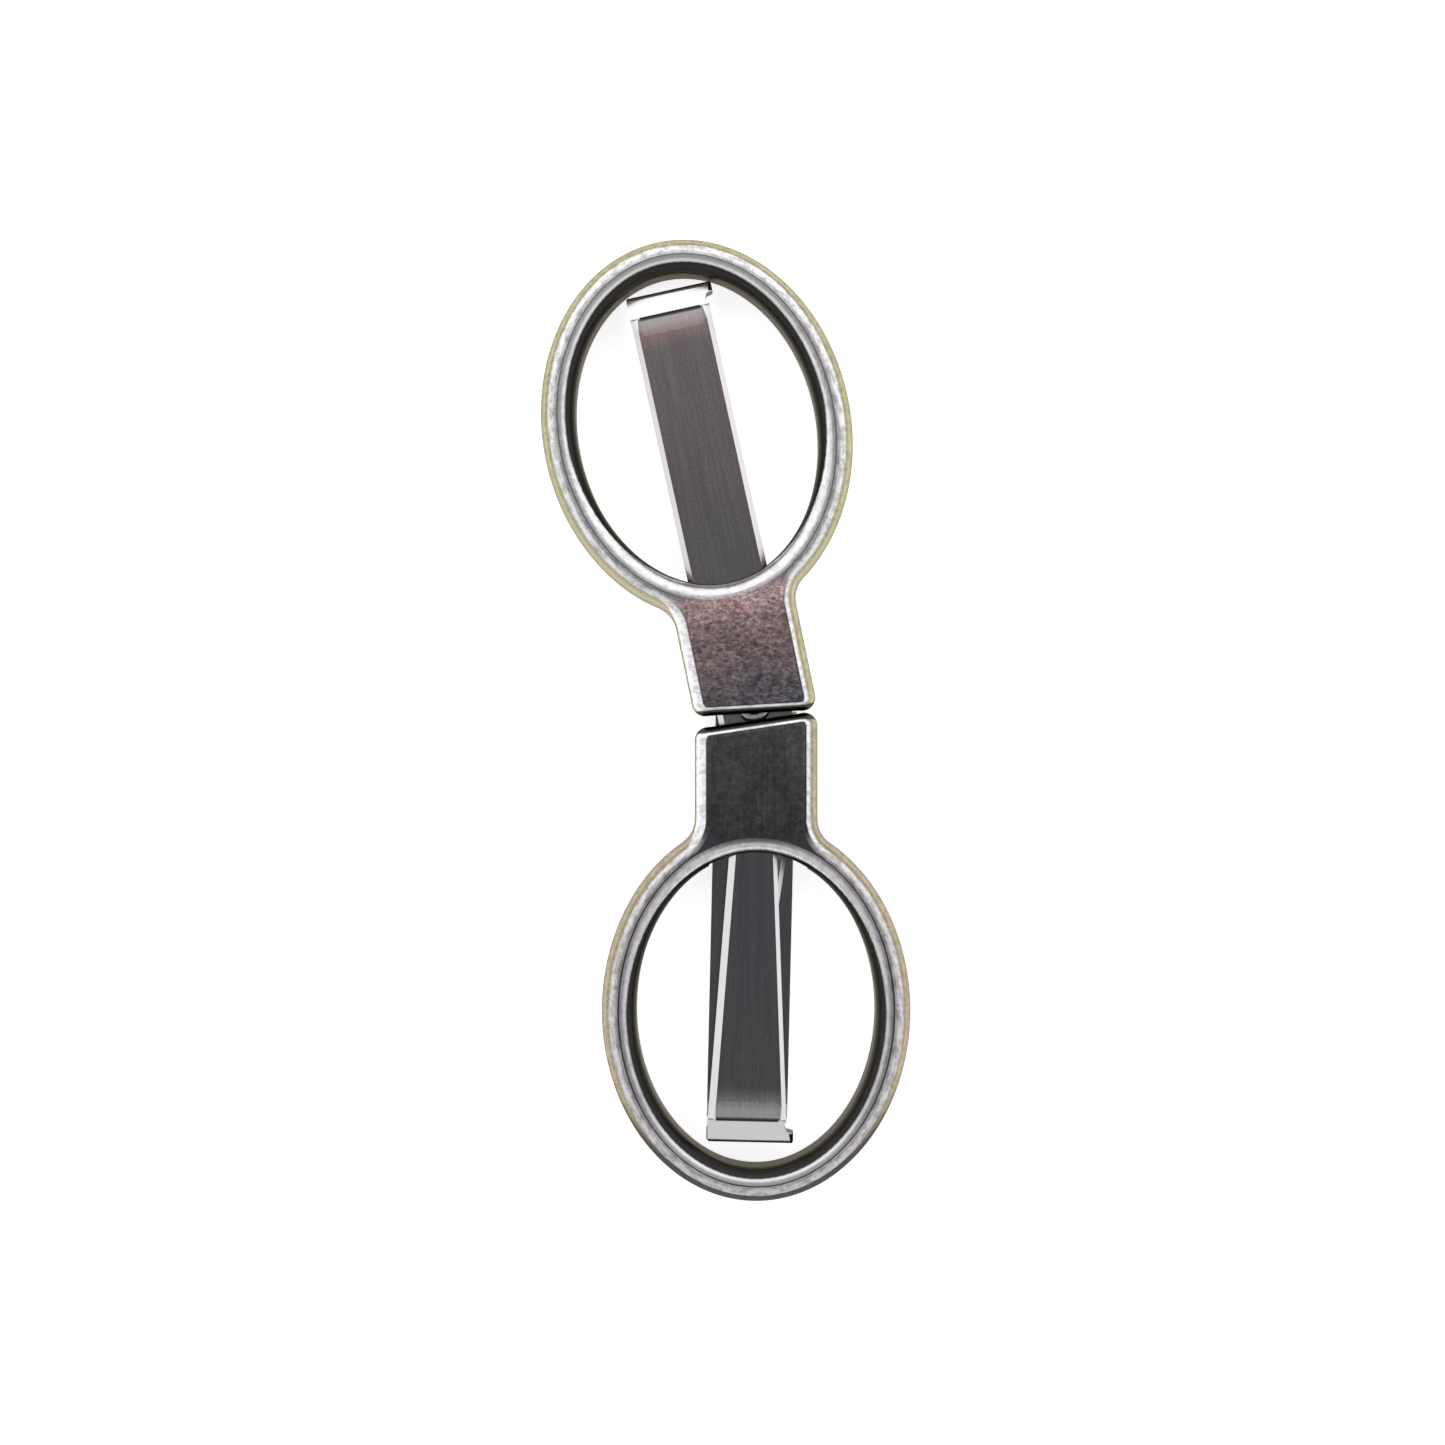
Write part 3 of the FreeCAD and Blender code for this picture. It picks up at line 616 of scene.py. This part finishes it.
# in these, bevel and fold are painted highlights, and dent is a painted reflection
STEEL_A = {
    "face": (0.30, 0.28, 0.29),
    "face_by_fold": (0.39, 0.345, 0.35),
    "dent": (0.66, 0.46, 0.465),
    "bevel": (0.80, 0.76, 0.77),
    "fold": (0.95, 0.94, 0.95),
}
STEEL_B = {
    "face": (0.19, 0.18, 0.20),
    "face_by_fold": (0.19, 0.19, 0.205),
    "dent": (0.46, 0.45, 0.47),
    "bevel": (0.80, 0.78, 0.80),
    "fold": (0.82, 0.80, 0.82),
}
STRIP_TURN_A = slide_angle("handle_a_slide") - QUARTER
STRIP_TURN_B = slide_angle("handle_b_slide") + QUARTER

RING_A = ring_centre("handle_a", HANDLE_TURN_A, 1)
RING_B = ring_centre("handle_b", HANDLE_TURN_B, -1)
FOLD_A = fold_reach("blade_a", STRIP_TURN_A, 1)
FOLD_B = fold_reach("blade_b", STRIP_TURN_B, -1)
dress("handle_a", cast_plating("plating_a", RING_A, HANDLE_TURN_A, -1, LOOKS_A))
dress("handle_b", cast_plating("plating_b", RING_B, HANDLE_TURN_B, 1, LOOKS_B))
dress("blade_a", rolled_steel("steel_a", STRIP_TURN_A, 1, FOLD_A, STEEL_A))
dress("blade_b", rolled_steel("steel_b", STRIP_TURN_B, -1, FOLD_B, STEEL_B))
dress("pivot_rivet", rivet_steel("rivet_steel"))


# ---- floor and backdrop -----------------------------------------------------------------------------------
FLOOR_SIZE = 4
FLOOR_DROP = 0.02 * MM
FLOOR_ROUGHNESS = 0.9
FLOOR_COLOUR = (0.93, 0.93, 0.93, 1)
FLOOR_GLOW = 0.7

BACKDROP_RADIUS = 1.9
BACKDROP_HEIGHT = 0.7
BACKDROP_DROP = 0.03 * MM
BACKDROP_BEND = BACKDROP_HEIGHT / 3
BACKDROP_BEND_ANGLES = range(0, 100, 10)
BACKDROP_STEPS = 96
BACKDROP_COLOUR = (0.97, 0.97, 0.97, 1)


def matt_white(name, colour, roughness):
    material = bpy.data.materials.new(name)
    material.use_nodes = True
    shader = material.node_tree.nodes["Principled BSDF"]
    shader.inputs["Base Color"].default_value = colour
    shader.inputs["Roughness"].default_value = roughness
    shader.inputs["Specular IOR Level"].default_value = 0.0
    return material, shader


def make_floor():
    """A white, slightly self-lit floor, just under the scissors."""
    low, _ = cad_bounds
    bpy.ops.mesh.primitive_plane_add(size=FLOOR_SIZE, location=(0, 0, low[2] - FLOOR_DROP))
    floor = bpy.context.object
    floor.name = "floor"
    material, shader = matt_white("floor", FLOOR_COLOUR, FLOOR_ROUGHNESS)
    shader.inputs["Emission Color"].default_value = (*WHITE, 1)
    shader.inputs["Emission Strength"].default_value = FLOOR_GLOW
    floor.data.materials.append(material)


def make_backdrop():
    """A white wall round the floor, far away and rounded at its foot, so that low views end in pale grey."""
    foot = cad_bounds[0][2] - BACKDROP_DROP
    centre = BACKDROP_RADIUS - BACKDROP_BEND
    profile = []
    for degrees in BACKDROP_BEND_ANGLES:
        angle = math.radians(degrees)
        rise = foot + BACKDROP_BEND - BACKDROP_BEND * math.cos(angle)
        profile.append((centre + BACKDROP_BEND * math.sin(angle), rise))
    profile.append((BACKDROP_RADIUS, foot + BACKDROP_HEIGHT))
    points = []
    for step in range(BACKDROP_STEPS):
        angle = 2 * math.pi * step / BACKDROP_STEPS
        cosine, sine = math.cos(angle), math.sin(angle)
        points += [(radius * cosine, radius * sine, height) for radius, height in profile]
    rows = len(profile)
    faces = []
    for step in range(BACKDROP_STEPS):
        here, there = step * rows, (step + 1) % BACKDROP_STEPS * rows
        faces += [(here + row, here + row + 1, there + row + 1, there + row) for row in range(rows - 1)]
    mesh = bpy.data.meshes.new("backdrop")
    mesh.from_pydata(points, [], faces)
    mesh.shade_smooth()
    backdrop = bpy.data.objects.new("backdrop", mesh)
    bpy.context.collection.objects.link(backdrop)
    material, _ = matt_white("backdrop", BACKDROP_COLOUR, 1.0)
    mesh.materials.append(material)


# ---- light and camera -------------------------------------------------------------------------------------
# degrees from straight overhead, and how bright the surroundings are there
OVERHEAD_LEVELS = ((0, 0.26), (9, 0.26), (12, 0.29), (17, 0.42), (25, 0.68), (38, 0.95), (60, 1.0), (75, 0.9),
                   (90, 0.6))
HIGH_Y_BRIGHTER = 0.35

CAMERA_DISTANCE = 200 * MM
SENSOR_WIDTH = 36
CLIP_START = 0.01
FRAME_WIDTH = 119.9 * MM
FOCUS_HEIGHT = 3.5 * MM
TARGET = (-0.26 * MM, -0.18 * MM)


def make_light():
    """White surroundings down to the horizon, and a dark patch straight overhead, where the camera is."""
    world = bpy.data.worlds.new("studio")
    bpy.context.scene.world = world
    world.use_nodes = True
    nodes, links = world.node_tree.nodes, world.node_tree.links
    direction = nodes.new("ShaderNodeTexCoord").outputs["Generated"]
    split = nodes.new("ShaderNodeSeparateXYZ")
    links.new(direction, split.inputs[0])
    ramp = nodes.new("ShaderNodeValToRGB")
    links.new(split.outputs[2], ramp.inputs[0])
    # a new ramp has one element at each end
    elements = ramp.color_ramp.elements
    for angle, level in OVERHEAD_LEVELS:
        place = slope_cosine(angle)
        element = elements[1] if place == 1 else elements[0] if angle == 90 else elements.new(place)
        element.color = (level, level, level, 1)
    links.new(ramp.outputs[0], nodes["Background"].inputs["Color"])
    # a little brighter from the +Y side
    lean = nodes.new("ShaderNodeMath")
    lean.operation = "MULTIPLY_ADD"
    links.new(split.outputs[1], lean.inputs[0])
    lean.inputs[1].default_value = HIGH_Y_BRIGHTER
    lean.inputs[2].default_value = 1.0
    links.new(lean.outputs[0], nodes["Background"].inputs["Strength"])


def make_camera():
    """Straight overhead, as in the photograph."""
    data = bpy.data.cameras.new("camera")
    data.sensor_width = SENSOR_WIDTH
    data.lens = SENSOR_WIDTH * CAMERA_DISTANCE / FRAME_WIDTH
    data.clip_start = CLIP_START
    camera = bpy.data.objects.new("camera", data)
    camera.location = (*TARGET, FOCUS_HEIGHT + CAMERA_DISTANCE)
    bpy.context.collection.objects.link(camera)
    bpy.context.scene.camera = camera


make_floor()
make_backdrop()
make_light()
make_camera()
bpy.context.scene.view_settings.view_transform = "Standard"
